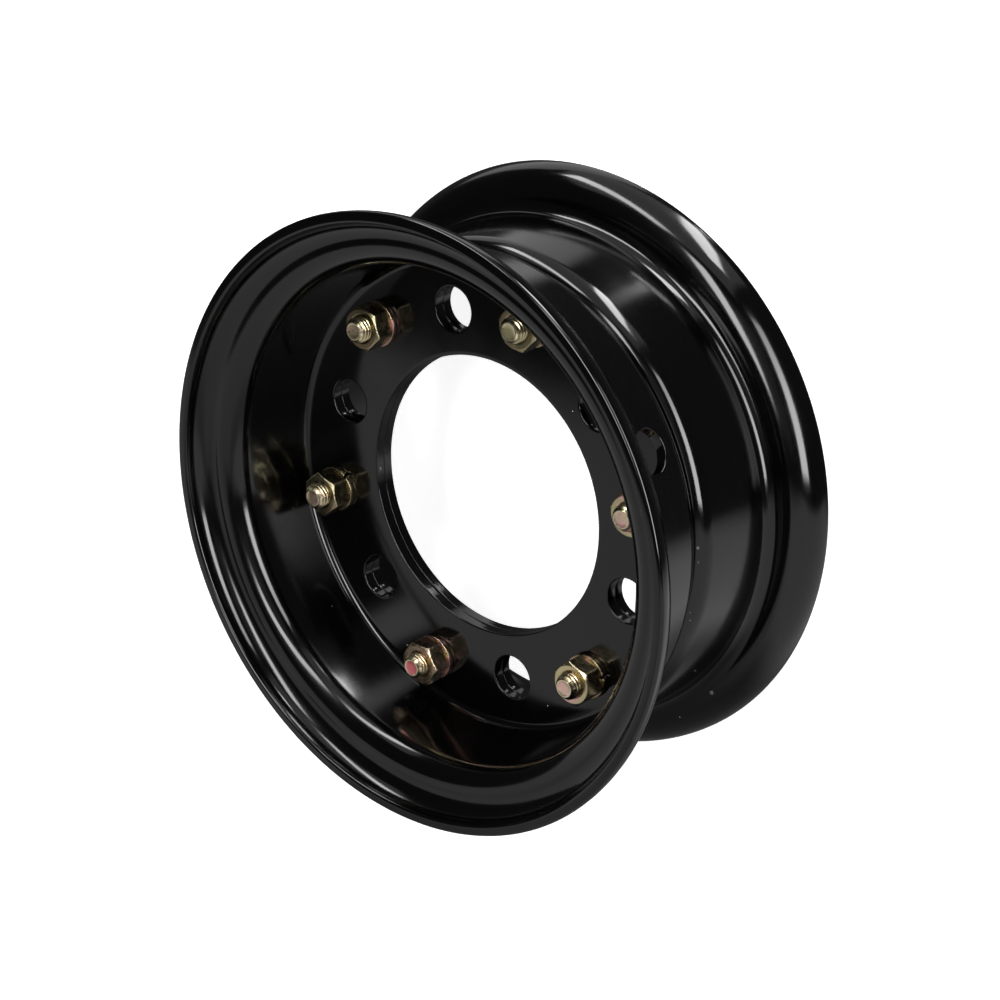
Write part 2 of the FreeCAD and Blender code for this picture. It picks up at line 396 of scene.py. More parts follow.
def valve_patch(section, outline, starts):
    """The drum round the valve hole.

    On each side of the sheet rays join the hole's edge to the patch's border in the plane across the
    hole's axis, and each point is lifted onto the cone of that side.
    """
    s = section.s
    half = PATCH_STEPS * 2 * math.pi / COLUMNS
    turn = np.linspace(-half, half, 2 * PATCH_STEPS + 1)
    rings = []
    for number, start in enumerate(starts):
        rows = outline[start:start + PATCH_ROWS + 1]
        rows = rows if rows[0, 1] < rows[-1, 1] else rows[::-1]
        slope = (rows[-1, 0] - rows[0, 0]) / (rows[-1, 1] - rows[0, 1])
        polar = np.concatenate([
            np.stack([0 * turn + rows[0, 1], turn], 1)[:-1],
            np.stack([rows[:, 1], 0 * rows[:, 1] + half], 1)[:-1],
            np.stack([0 * turn + rows[-1, 1], -turn], 1)[:-1],
            np.stack([rows[::-1, 1], 0 * rows[:, 1] - half], 1)[:-1],
        ])

        def on_cone(across, height, sink):
            radius = rows[0, 0] + slope * (height - rows[0, 1])
            return np.stack([np.sqrt(radius ** 2 - across ** 2) + sink, across, height], 1)

        reach = rows[0, 0] + slope * (polar[:, 0] - rows[0, 1])
        border = np.stack([reach * np.sin(polar[:, 1]), polar[:, 0]], 1)
        ray = border - (0, s.valve_height)
        ray /= np.linalg.norm(ray, axis=1)[:, None]
        inwards = 1 if number == 0 else -1
        spans, depth = edge_rings(s.valve_radius, s.hole_edge)
        edge = [np.array([0, s.valve_height]) + span * ray for span in spans]
        flat = [(1 - share) * edge[0] + share * border for share in SPREAD]
        side = [on_cone(p[:, 0], p[:, 1], 0) for p in flat[::-1]]
        side += [on_cone(p[:, 0], p[:, 1], d) for p, d in zip(edge[1:], inwards * depth[1:])]
        rings += side if number == 0 else side[::-1]
    return moved(loft(np.array(rings)), s.valve_angle, (0, 0, 0))


def without_patch(shell, starts, valve_column):
    """A spun shell with the quads under the valve patch taken out, by row and column."""
    points, quads = shell
    row, column = np.divmod(np.arange(len(quads)), COLUMNS)
    beside = (column - valve_column + PATCH_STEPS) % COLUMNS < 2 * PATCH_STEPS
    hidden = np.zeros(len(quads), bool)
    for start in starts:
        hidden |= beside & (row >= start) & (row < start + PATCH_ROWS)
    return points, quads[~hidden]


def half_shells(sizes, with_valve):
    """Every shell of a pressed half on the +Z side: spun drum and lip, bore edge, disc sectors."""
    section = Section(sizes)
    outline, starts = section.outline()
    drum = loft(spin(outline))
    shells = [loft(sheared(spin(section.bore_strip()), sizes.bore_radius))]
    if with_valve:
        valve_column = round(sizes.valve_angle / (2 * math.pi / COLUMNS))
        drum = without_patch(drum, starts, valve_column)
        shells.append(valve_patch(section, outline, starts))
    shells.append(drum)
    # The sectors' borders fall on whole columns: sector k is centred on column k * STEPS.
    for index in range(HOLES):
        shells.append(hole_sector(section, index * PITCH, sizes.bolt_circle, sizes.bolt_hole))
        shells.append(hole_sector(section, (index + 0.5) * PITCH, sizes.stud_circle, sizes.stud_radius))
    return shells


def facing_rear(shells):
    """Shells turned half a turn about the X axis."""
    return [(points * np.array([1, -1, -1]), quads) for points, quads in shells]


# Fasteners
SIDE = 18                       # columns on one side of a hexagon
HEX_ROUND = 45                  # sharpness of a hexagon's corners, as the power of a mean
EDGE_ROUND = 65                 # the same for the edges of its chamfer
HEX_END = 1.5 * MM              # height of the fine rows at each end of a hexagon
HEX_END_ROWS, HEX_ROWS = 14, 6  # rows at each end and between
CHAMFER_REACH = math.sqrt(3)    # run over rise of a 30 degree chamfer
SIDE_SLACK = 0.012              # share of the width within which a point counts as on a hexagon's side
NUT_SINK = 0.6 * MM             # countersink of a nut's bore
NUT_FACE_EDGE = 0.1 * MM        # rounding between a nut's chamfer and its face
NUT_FACE_ROWS = 4
NUT_THREAD_SHARE = 0.2          # share of the thread's depth that the nut's bore covers
WASHER_CORNER = 0.35 * MM
WASHER_STEPS = 97               # sections round a washer
WASHER_CAP, WASHER_EDGE = 0.92, 0.97    # shrink of the section at a washer's ends
THREAD_STEP = 0.06 * MM         # height between rings of the thread
THREAD_INSIDE = 1.0 * MM        # where the thread begins, below the nut's top
CREST_FALL = 3                  # how fast the painted highlight on the crest ends with depth
CAP_SHARE = np.array([[0.99], [0.94], [0.86], [0.8], [0.4], [0.0]])     # rings of a bolt's end face
CAP_SINK = np.array([[0.03], [0.0], [0.0], [0.12], [0.12], [0.12]]) * MM
CAP_RING = 0.83                 # inner border of the raised ring
NOSE_SHARE = np.array([[0.0], [0.5], [0.95]])                           # rings of a bolt head's face
BOLT_CREASE = math.radians(40)
HEX_SHARE = (1 - np.cos(math.pi * np.arange(SIDE) / SIDE)) / 2
HEX_TURN = (np.arange(6)[:, None] + HEX_SHARE).ravel() * (math.pi / 3)     # closer at the corners


def soft_min(*values):
    """Smooth minimum, a power mean with a large negative power, and how near two values are, 0 to 1."""
    values = np.broadcast_arrays(*values)
    least = np.minimum.reduce(values)
    total = sum((value / least) ** -EDGE_ROUND for value in values)
    return least * total ** (-1 / EDGE_ROUND), total - 1


def hex_reach(width, turn):
    """Distance from the axis to a hexagon with a corner at turn 0, and how near a corner it is, 0 to 1."""
    faces = math.radians(30) + np.arange(6)[:, None] * math.radians(60)
    facing = np.clip(np.cos(turn - faces), 0, None) ** HEX_ROUND
    total = facing.sum(axis=0)
    return width / 2 / total ** (1 / HEX_ROUND), total / facing.max(axis=0) - 1


def rings_at(radius, height, turn):
    """Rings from a radius and a height for each row and turn."""
    radius, height, turn = np.broadcast_arrays(radius, height, turn)
    return np.stack([radius * np.cos(turn), radius * np.sin(turn), height], axis=2)


def hex_side(f, low, high, turn, chamfer_low, chamfer_high):
    """Sides of a hexagon between two heights, and the painted highlight on their worn edges, 0 to 1.

    A 30 degree cone takes the corners off at the ends.
    """
    rows = np.concatenate([
        np.linspace(low, low + HEX_END, HEX_END_ROWS),
        np.linspace(low + HEX_END, high - HEX_END, HEX_ROWS)[1:-1],
        np.linspace(high - HEX_END, high, HEX_END_ROWS)])[:, None]
    flat, corner = hex_reach(f.hex_width, turn)
    radius = [flat + 0 * rows]
    if chamfer_low:
        radius.append(f.hex_face + (rows - low) * CHAMFER_REACH + 0 * turn)
    if chamfer_high:
        radius.append(f.hex_face + (high - rows) * CHAMFER_REACH + 0 * turn)
    smooth, edge = soft_min(*radius)
    # Painted highlight: the hexagon's edges and corners are marked to turn bright cream, standing for
    # plating rubbed off there
    on_side = smooth > flat - f.hex_width * SIDE_SLACK
    return rings_at(smooth, rows, turn), np.maximum(edge, corner * on_side)


def nut_shell(f, low, high):
    """Nut: hexagon side, top face, countersunk bore, and bottom face back to the start; with the painted
    highlight on its worn edges.
    """
    turn = HEX_TURN
    side, wear = hex_side(f, low, high, turn, True, True)
    bore = f.bolt_radius - f.thread_depth * NUT_THREAD_SHARE
    face = np.linspace(f.hex_face - NUT_FACE_EDGE, bore + NUT_SINK, NUT_FACE_ROWS)
    inner = np.concatenate([
        np.stack([face, 0 * face + high], 1), [[bore, high - NUT_SINK]], [[bore, low + NUT_SINK]],
        np.stack([face[::-1], 0 * face + low], 1)])
    rings = np.concatenate([side, rings_at(inner[:, :1], inner[:, 1:], turn), side[:1]])
    # Painted highlight on the nut's edges only, none on its faces or in its bore
    bare_and_highlight = np.concatenate([wear, np.zeros((len(inner), len(turn))), wear[:1]])
    return loft(rings), bare_and_highlight.ravel()


def washer_shell(f, low, high):
    """Split ring: a rounded rectangle carried round the bolt, with ends that lean along the slit."""
    middle, rise = f.washer_inner + f.washer_width / 2, (high - low) / 2
    turn = np.radians(np.linspace(0, 90, 5))
    quarter = np.stack([np.cos(turn), np.sin(turn)], 1) * WASHER_CORNER
    inset = np.array([f.washer_width / 2 - WASHER_CORNER, rise - WASHER_CORNER])
    spins = [(1, 1), (-1, 1), (-1, -1), (1, -1)]
    loop = np.concatenate([(quarter[::sx * sy] + inset) * (sx, sy) for sx, sy in spins])
    share = np.concatenate([[-1, -1, -1], np.linspace(-1, 1, WASHER_STEPS), [1, 1, 1]])[:, None]
    shrink = np.ones_like(share)
    shrink[[0, -1]] = 0
    shrink[[1, -2]] = WASHER_CAP
    ease = np.ones_like(share)
    ease[[2, -3]] = WASHER_EDGE
    radius = middle + loop[:, 0] * shrink * ease
    height = loop[:, 1] * shrink * ease
    start = (f.washer_gap / 2 / math.cos(f.slit_lean)) / radius
    lean = -height * math.tan(f.slit_lean) / radius
    angle_at = math.pi + share * (math.pi - start) + lean
    rings = np.stack([radius * np.cos(angle_at), radius * np.sin(angle_at), height + low + rise], axis=2)
    return loft(rings)


def bolt_shell(f, low, high, seat, thread_start):
    """Bolt from its head's face to its end, with its end face, painted highlight on crests, edges and the
    end's ring, and painted shade in the roots, each 0 to 1.

    The thread is a right-hand helix: the radius falls from crest to root with the cosine of height over
    pitch less turn, and a 45 degree cone cuts it at the end. The end face is sunk a little inside its ring.
    """
    turn = HEX_TURN
    head, wear = hex_side(f, low, seat, turn, True, False)
    shank = rings_at(np.full((3, 1), f.bolt_radius), np.linspace(seat, thread_start, 3)[:, None], turn)
    height = np.arange(thread_start + THREAD_STEP, high, THREAD_STEP)[:, None]
    depth = (1 - np.cos(2 * math.pi * height / f.thread_pitch - turn)) / 2
    end = f.bolt_radius - f.end_chamfer
    radius = np.minimum(f.bolt_radius - f.thread_depth * depth, end + (high - height))
    cap = rings_at(CAP_SHARE * end, high - CAP_SINK, turn)
    nose = rings_at(NOSE_SHARE * f.hex_face, low, turn)
    rings = np.concatenate([nose, head, shank, rings_at(radius, height, turn), cap])
    on_nose, on_shank = 0 * nose[:, :, 0], 0 * shank[:, :, 0]
    in_ring = 0 * turn + (CAP_SHARE < CAP_RING)
    # Painted highlight: the thread crests are marked to turn cream, and so is the raised ring round the end
    # face
    crest = np.clip(1 - CREST_FALL * depth, 0, 1)
    bare_and_highlight = np.concatenate([on_nose, wear, on_shank, crest, 1 - in_ring])
    # Painted shade: darker towards the thread roots
    dulling_and_shade = np.concatenate([on_nose, 0 * wear, on_shank, depth ** 2, 0 * in_ring])
    face = np.concatenate([on_nose, 0 * wear, on_shank, 0 * depth, in_ring])
    return loft(rings), face.ravel(), bare_and_highlight.ravel(), dulling_and_shade.ravel()


def marked(values, share, rest=0.0):
    """A mark for each copy round the bolt circle: its value where the share is 1, the rest elsewhere."""
    return [rest + share * (values[index % len(values)] - rest) for index in range(HOLES)]


def round_bolts(sizes, shell, turns):
    """Copies of a fastener's shell round the bolt circle, each with its own turn."""
    copies = []
    for index in range(HOLES):
        around = index * PITCH
        place = (sizes.bolt_circle * math.cos(around), sizes.bolt_circle * math.sin(around), 0)
        copies.append(moved(shell, around + math.radians(turns[index % len(turns)]), place))
    return copies


# Materials
class Nodes:
    """Short hand for building the node tree of one material or of the world."""

    def __init__(self, name, world=None):
        self.owner = world or bpy.data.materials.get(name) or bpy.data.materials.new(name)
        self.owner.use_nodes = True
        self.tree = self.owner.node_tree
        self.tree.nodes.clear()
        self.out = self.add("ShaderNodeOutputWorld" if world else "ShaderNodeOutputMaterial")

    def feed(self, socket, value):
        """Link a socket to another node's output, or set it to a plain value."""
        if isinstance(value, bpy.types.NodeSocket):
            self.tree.links.new(value, socket)
        else:
            socket.default_value = value

    def add(self, kind, **inputs):
        """A node with its inputs linked or set by name."""
        node = self.tree.nodes.new(kind)
        for name, value in inputs.items():
            self.feed(node.inputs[name.replace("_", " ")], value)
        return node

    def link(self, source, target):
        """Join an output to an input."""
        self.tree.links.new(source, target)

    def noise(self, place, scale, detail=2.0, roughness=0.5):
        """Noise at a place, with its scale per metre."""
        return self.add("ShaderNodeTexNoise", Vector=place, Scale=scale, Detail=detail, Roughness=roughness)

    def mark(self, name):
        """The value of one of the piece's own attributes."""
        node = self.tree.nodes.new("ShaderNodeAttribute")
        node.attribute_name = name
        return node.outputs["Fac"]

    def measure(self, operation, place, vector):
        """A vector operation that gives one number."""
        node = self.tree.nodes.new("ShaderNodeVectorMath")
        node.operation = operation
        self.tree.links.new(place, node.inputs[0])
        node.inputs[1].default_value = vector
        return node.outputs["Value"]

    def dot(self, place, vector):
        """How far a place lies along a vector."""
        return self.measure("DOT_PRODUCT", place, vector)

    def far(self, place, centre):
        """Distance from a centre."""
        return self.measure("DISTANCE", place, centre)

    def ramp(self, value, first, last, low=0.0, high=1.0):
        """A smooth step from low to high, while a value goes from first to last."""
        node = self.add("ShaderNodeMapRange", Value=value)
        node.interpolation_type = "SMOOTHSTEP"
        for name, number in zip(("From Min", "From Max", "To Min", "To Max"), (first, last, low, high)):
            node.inputs[name].default_value = number
        return node.outputs["Result"]

    def math(self, operation, first, second=0.0):
        """A plain operation on two values."""
        node = self.tree.nodes.new("ShaderNodeMath")
        node.operation = operation
        for socket, value in zip(node.inputs, (first, second)):
            self.feed(socket, value)
        return node.outputs[0]

    def mix(self, share, first, second):
        """A blend of two colours by a share."""
        node = self.tree.nodes.new("ShaderNodeMix")
        node.data_type = "RGBA"
        # Sockets 0, 6 and 7 are the share and the two colours, and output 2 is the mixed colour.
        for socket, value in zip((node.inputs[0], node.inputs[6], node.inputs[7]), (share, first, second)):
            self.feed(socket, value)
        return node.outputs[2]


def rgba(colour_value):
    """A colour property with full alpha."""
    return (*colour_value, 1.0)


# Paint. Scales are per metre.
WAVE_SCALE, WAVE_HEIGHT = 45.0, 0.03 * MM       # slow waves of the pressing
PEEL_SCALE, PEEL_HEIGHT = 650.0, 0.004 * MM     # orange peel
SMEAR_SCALE = 22.0
SMEAR_RANGE = (0.35, 0.75)      # noise values between which the roughness drifts
PAINT_ROUGH = (0.10, 0.17)      # least and most roughness
PAINT_IOR = 1.52
WORN_ROUGH = 0.4                # added where dust or a rub lies
DUST_SCALE = 170.0
DUST_RARE = (0.86, 0.87)        # only cells over this value hold a speck
DUST_EDGE = (0.035, 0.05)       # a speck's radius, as shares of its cell
DUST_COLOUR = (0.7, 0.7, 0.68, 1.0)
RUB_SCALE, RUB_FRAY, RUB_FADE = 1100.0, 2.2 * MM, 0.7 * MM      # frayed border of a rub
RUB_SHARE = 0.8                 # how far a rub hides the paint
RUB_COLOUR = (0.30, 0.30, 0.29, 1.0)
# Chips and rubs in the paint: place in the rim's frame and size, in millimetres
SCUFFS = (
    (94.4, -16.0, -1.5, 1.1), (93.7, -21.4, -1.8, 0.8), (87.0, -40.9, -1.8, 0.8),
    (86.0, -44.3, -2.3, 0.7), (62.8, -87.9, -38.2, 1.5), (-54.9, 8.4, 2.3, 1.3),
)


def scuffed(n, place):
    """Where the paint is rubbed, 0 to 1: inside frayed balls about the scuffs' places."""
    rough = n.noise(place, RUB_SCALE, detail=3.0, roughness=0.7).outputs["Fac"]
    fray = n.math("MULTIPLY", rough, RUB_FRAY)
    scuff = 0.0
    for x, y, z, size in SCUFFS:
        away = n.math("ADD", n.far(place, (x * MM, y * MM, z * MM)), fray)
        scuff = n.math("MAXIMUM", n.ramp(away, size * MM, size * MM + RUB_FADE, 1.0, 0.0), scuff)
    return scuff


def black_paint(colours):
    """Gloss black paint: slow waves of the pressing, orange peel, fine dust and a few rubs."""
    n = Nodes("black_paint")
    place = n.add("ShaderNodeTexCoord").outputs["Object"]
    waves = n.noise(place, WAVE_SCALE).outputs["Fac"]
    peel = n.noise(place, PEEL_SCALE).outputs["Fac"]
    slow = n.add("ShaderNodeBump", Strength=1.0, Distance=WAVE_HEIGHT, Height=waves).outputs[0]
    fine = n.add("ShaderNodeBump", Strength=1.0, Distance=PEEL_HEIGHT, Height=peel, Normal=slow).outputs[0]
    cells = n.add("ShaderNodeTexVoronoi", Vector=place, Scale=DUST_SCALE).outputs
    lonely = n.ramp(cells["Color"], *DUST_RARE)
    dust = n.math("MULTIPLY", n.ramp(cells["Distance"], *DUST_EDGE, 1.0, 0.0), lonely)
    tint = n.mix(dust, rgba(colours.paint), DUST_COLOUR)
    scuff = scuffed(n, place)
    tint = n.mix(n.math("MULTIPLY", scuff, RUB_SHARE), tint, RUB_COLOUR)
    smear = n.noise(place, SMEAR_SCALE, detail=4.0, roughness=0.6).outputs["Fac"]
    worn = n.math("MULTIPLY", n.math("MAXIMUM", dust, scuff), WORN_ROUGH)
    rough = n.math("ADD", n.ramp(smear, *SMEAR_RANGE, *PAINT_ROUGH), worn)
    shader = n.add("ShaderNodeBsdfPrincipled", Base_Color=tint, Roughness=rough, Normal=fine, IOR=PAINT_IOR)
    n.link(shader.outputs[0], n.out.inputs["Surface"])
    return n.owner


# Plating. Scales are per metre.
DRIFT_SCALE, PATCH_SCALE = 28.0, 170.0          # slow drift of the tint, and its small patches
GRAIN_SCALE, GRAIN_HEIGHT = 1500.0, 0.004 * MM
OLIVE_RANGE = (0.42, 0.6)       # drift between which gold turns to olive
PINK_RANGE = (0.62, 0.85)       # patches, with the blush, between which it turns pink
RED_RANGE = (0.8, 1.0)          # blush between which it turns red
THIN_RANGE, THIN_SHARE = (0.3, 0.7), 0.8        # patches over which tarnish thins, and what is left
BLUSH_SHARE = 0.4               # how far a fastener's blush helps the pink patches
BARE_HIGHLIGHT_SHARE = 0.8                # how far the painted highlight on an edge hides the tint
HAZE = 0.32                     # matt share of a sawn bolt end
NUT_ROUGH, WASHER_ROUGH, BOLT_ROUGH = 0.23, 0.22, 0.18  # least roughness
ROUGH_RANGE, ROUGH_GAIN = (0.3, 0.8), 0.12              # patches over which it grows, and by how much


def yellow_zinc(colours, name, least_rough):
    """Zinc plate with a yellow passivate: gold drifting to olive and pink, brown where it is tarnished,
    cream painted highlight on edges and crests, and painted shade in thread roots.
    """
    n = Nodes(name)
    place = n.add("ShaderNodeTexCoord").outputs["Object"]
    drift = n.noise(place, DRIFT_SCALE, detail=3.0).outputs["Fac"]
    patch = n.noise(place, PATCH_SCALE, detail=3.0, roughness=0.6).outputs["Fac"]
    blush, tarnish, wear, haze = (n.mark(mark) for mark in ("blush", "tarnish", "wear", "haze"))
    tint = n.mix(n.ramp(drift, *OLIVE_RANGE), rgba(colours.gold), rgba(colours.olive))
    rosy = n.math("ADD", patch, n.math("MULTIPLY", blush, BLUSH_SHARE))
    tint = n.mix(n.ramp(rosy, *PINK_RANGE), tint, rgba(colours.pink))
    tint = n.mix(n.ramp(blush, *RED_RANGE), tint, rgba(colours.red))
    # Brown where the plating is tarnished, and as painted shade in the thread roots
    dulling_and_shade = n.math("MULTIPLY", tarnish, n.ramp(patch, *THIN_RANGE, 1.0, THIN_SHARE))
    tint = n.mix(dulling_and_shade, tint, rgba(colours.brown))
    # Painted highlight: marked edges, crests and end rings turn cream
    tint = n.mix(n.math("MULTIPLY", wear, BARE_HIGHLIGHT_SHARE), tint, rgba(colours.cream))
    metal = n.ramp(haze, 0.0, 1.0, 1.0, 1 - HAZE)
    grain = n.noise(place, GRAIN_SCALE).outputs["Fac"]
    bump = n.add("ShaderNodeBump", Strength=1.0, Distance=GRAIN_HEIGHT, Height=grain).outputs[0]
    rough = n.ramp(patch, *ROUGH_RANGE, least_rough, least_rough + ROUGH_GAIN)
    shader = n.add("ShaderNodeBsdfPrincipled", Base_Color=tint, Roughness=rough, Metallic=metal, Normal=bump)
    n.link(shader.outputs[0], n.out.inputs["Surface"])
    return n.owner


# Stage: camera, floor and glowing cards, all in the rim's own frame
CAMERA_SIDE = 43.032            # degrees round from the wheel axis towards +X
CAMERA_RISE = 14.149            # degrees towards +Y
CAMERA_ROLL = 9.030             # degrees, clockwise
CAMERA_DISTANCE = 0.86485       # metres
CAMERA_AIM = (0.00278, -0.00281, -0.00164)      # point that it looks at, beside the wheel's centre
CAMERA_LENS = 81.52             # millimetres, on the sensor below
SENSOR = 36.0
CAMERA_CLIP = (0.01, 50.0)      # metres
FLOOR_SIZE = 6.0                # metres along a side
FLOOR_COLOUR = (0.8, 0.8, 0.8, 1.0)
FLOOR_GLOW = 0.90               # white that the camera sees beside the floor's own light
ROOM_LEVEL = 0.022              # dim room round the studio's cards
GLOSS_SHARE = 0.016             # how much of the white surround shows in gloss
UP = (0.199, 0.980)             # the picture's upright, across the wheel axis
TABLE_SHADE = 0.004             # height of the wheel's shade over the table's card
FADE_HEIGHTS = (0.25, 0.95)     # where a graded card weakens, up from the wheel's centre
REST_LEVEL = CAD_BOX[1][0]      # wheel's centre to the table it would stand on


def camera():
    """Camera of the photograph's view: set back from its aim, turned to the side, raised and rolled."""
    lens = bpy.data.cameras.new("view")
    lens.lens, lens.sensor_width = CAMERA_LENS, SENSOR
    lens.clip_start, lens.clip_end = CAMERA_CLIP
    thing = bpy.data.objects.new("view", lens)
    turns = [Matrix.Rotation(math.radians(degrees), 4, axis) for degrees, axis in (
        (CAMERA_SIDE, "Y"), (-CAMERA_RISE, "X"), (-CAMERA_ROLL, "Z"))]
    back = Matrix.Translation((0, 0, CAMERA_DISTANCE))
    thing.matrix_world = Matrix.Translation(CAMERA_AIM) @ turns[0] @ turns[1] @ turns[2] @ back
    bpy.context.scene.collection.objects.link(thing)
    bpy.context.scene.camera = thing


def studio_point(right, up, front):
    """A place in the studio, in metres: right and up as in the picture, front along the wheel axis."""
    return np.array([right * UP[1] + up * UP[0], -right * UP[0] + up * UP[1], front])


def card(name, centre, along, across, material):
    """A flat card: its centre and its two half edges, as studio places."""
    middle, first, second = (studio_point(*vector) for vector in (centre, along, across))
    signs = ((-1, -1), (1, -1), (1, 1), (-1, 1))
    corners = [middle + one * first + other * second for one, other in signs]
    mesh = bpy.data.meshes.new(name)
    mesh.from_pydata(corners, [], [(0, 1, 2, 3)])
    mesh.materials.append(material)
    thing = bpy.data.objects.new(name, mesh)
    bpy.context.scene.collection.objects.link(thing)
    return thing


def reflector(name, centre, along, across, strength, soft, lights_matt=False, top_share=1.0):
    """A glowing card that the camera doesn't see. It shows in gloss, and may light matt surfaces too."""
    middle, *edges = (studio_point(*vector) for vector in (centre, along, across))
    thing = card(name, centre, along, across, glow_finish(name, strength, middle, edges, soft, top_share))
    thing.visible_camera = False
    thing.visible_shadow = False
    thing.visible_diffuse = lights_matt
    return thing


def floor():
    """Pale floor under the rear lip, on the plane of the CAD box's lowest corner."""
    half = FLOOR_SIZE / 2
    thing = card("floor", (0, 0, CAD_BOX[0][2]), (half, 0, 0), (0, half, 0), floor_finish())
    thing.visible_shadow = False


def floor_finish():
    """White floor that keeps the object's shadow. Gloss sees a share of its white and the studio behind."""
    n = Nodes("stage_floor")
    path = n.add("ShaderNodeLightPath").outputs
    direct = n.math("MAXIMUM", path["Is Camera Ray"], path["Is Transmission Ray"])
    gloss = n.math("MULTIPLY", path["Is Glossy Ray"], GLOSS_SHARE)
    level = n.math("ADD", n.math("MULTIPLY", direct, FLOOR_GLOW), gloss)
    glow = n.add("ShaderNodeEmission", Strength=level)
    matt = n.add("ShaderNodeBsdfDiffuse", Color=FLOOR_COLOUR)
    clear = n.tree.nodes.new("ShaderNodeBsdfTransparent")
    pick = n.tree.nodes.new("ShaderNodeMixShader")
    both = n.tree.nodes.new("ShaderNodeAddShader")
    n.link(path["Is Glossy Ray"], pick.inputs[0])
    n.link(matt.outputs[0], pick.inputs[1])
    n.link(clear.outputs[0], pick.inputs[2])
    n.link(glow.outputs[0], both.inputs[0])
    n.link(pick.outputs[0], both.inputs[1])
    n.link(both.outputs[0], n.out.inputs["Surface"])
    return n.owner


def glow_finish(name, strength, middle, edges, soft, top_share):
    """A card's glow: it fades out over a share of each half edge, and weakens towards the studio's top."""
    n = Nodes(name)
    place = n.add("ShaderNodeTexCoord").outputs["Object"]
    solid = 1.0
    for edge in edges:
        span = edge / (edge @ edge)
        across = n.math("ABSOLUTE", n.math("SUBTRACT", n.dot(place, span), float(middle @ span)))
        solid = n.math("MULTIPLY", n.ramp(across, 1 - soft, 1.0, 1.0, 0.0), solid)
    level = n.ramp(n.dot(place, (*UP, 0)), *FADE_HEIGHTS, strength, strength * top_share)
    glow = n.add("ShaderNodeEmission", Strength=level)
    clear = n.tree.nodes.new("ShaderNodeBsdfTransparent")
    pick = n.tree.nodes.new("ShaderNodeMixShader")
    n.link(solid, pick.inputs[0])
    n.link(clear.outputs[0], pick.inputs[1])
    n.link(glow.outputs[0], pick.inputs[2])
    n.link(pick.outputs[0], n.out.inputs["Surface"])
    return n.owner


def world():
    """White to the camera and through glass, a share of it in gloss, and a little fill on matt surfaces."""
    scene = bpy.context.scene
    scene.world = scene.world or bpy.data.worlds.new("studio")
    scene.world.use_nodes = True
    n = Nodes("studio", scene.world)
    path = n.add("ShaderNodeLightPath").outputs
    seen = n.math("MAXIMUM", path["Is Camera Ray"], path["Is Transmission Ray"])
    gloss = n.math("MULTIPLY", path["Is Glossy Ray"], GLOSS_SHARE)
    level = n.math("ADD", n.math("MULTIPLY", seen, 1 - ROOM_LEVEL), n.math("ADD", gloss, ROOM_LEVEL))
    sky = n.add("ShaderNodeBackground", Color=(1, 1, 1, 1), Strength=level)
    n.link(sky.outputs[0], n.out.inputs["Surface"])


def studio():
    """Softboxes and pale walls round the rim, at the places that its reflections show.

    Each has its centre, its two half edges, its strength and the share of a half edge that fades.
    """
    table = -REST_LEVEL
    reflector("softbox_right", centre=(0.984, 0.50, 0.43), along=(0.073, 0, -0.167), across=(0, 0.59, 0),
              strength=10.5, soft=0.08, lights_matt=True, top_share=0.62)
    reflector("softbox_rear", centre=(0.29, 1.3, -0.36), along=(0.34, 0, 0.54), across=(0.18, 0, -0.05),
              strength=13.5, soft=0.12)
    reflector("lamp_back", centre=(0.09, 1.1, -1.0), along=(0.08, 0, 0), across=(0, 0.016, 0.016),
              strength=24.0, soft=0.6)
    reflector("softbox_left", centre=(-0.45, 1.3, 0.45), along=(0.41, 0, 0.44), across=(0.095, 0, -0.089),
              strength=10.5, soft=0.12, lights_matt=True)
    reflector("strip_front", centre=(0.19, 0.60, 1.1), along=(0.15, 0, -0.02), across=(-0.05, 0.62, 0),
              strength=10.5, soft=0.3, lights_matt=True)
    reflector("glow_front", centre=(0.40, 0.50, 1.3), along=(0.70, 0, -0.2), across=(0, 0.66, 0),
              strength=0.22, soft=0.4)
    reflector("ceiling", centre=(-0.12, 1.9, 0.12), along=(1.30, 0, 0), across=(0, 0, 1.30),
              strength=0.58, soft=0.1)
    reflector("wall_left", centre=(-0.9, 1.05, -0.75), along=(0.47, 0, -0.52), across=(0, 0.56, 0),
              strength=0.85, soft=0.25)
    reflector("table_left", centre=(-0.50, table, 0.22), along=(0.60, 0, 0), across=(0, 0, 0.185),
              strength=0.50, soft=0.2)
    reflector("table_right", centre=(0.33, table, 0.03), along=(0.36, 0, 0), across=(0, 0, 0.53),
              strength=0.68, soft=0.5)
    reflector("table_shade", centre=(0.04, table + TABLE_SHADE, -0.10), along=(0.11, 0, 0),
              across=(0, 0, 0.17), strength=0.15, soft=0.5)


def sizes_of(context):
    """The scene's groups of rim sizes, fastener sizes and colours."""
    scene = context.scene
    return scene.rim_sizes, scene.rim_fasteners, scene.rim_colours


class RIM_OT_halves(Operator):
    """Replace both pressed halves with smooth painted shells"""
    bl_idname = "rim.halves"
    bl_label = "Pressed halves"

    def execute(self, context):
        sizes, fasteners, colours = sizes_of(context)
        paint = black_paint(colours)
        piece("front_half_painted", "front_rim_half", paint, half_shells(sizes, True))
        rear = facing_rear(half_shells(sizes, False))
        piece("rear_half_painted", "rear_rim_half", paint, rear)
        return {"FINISHED"}


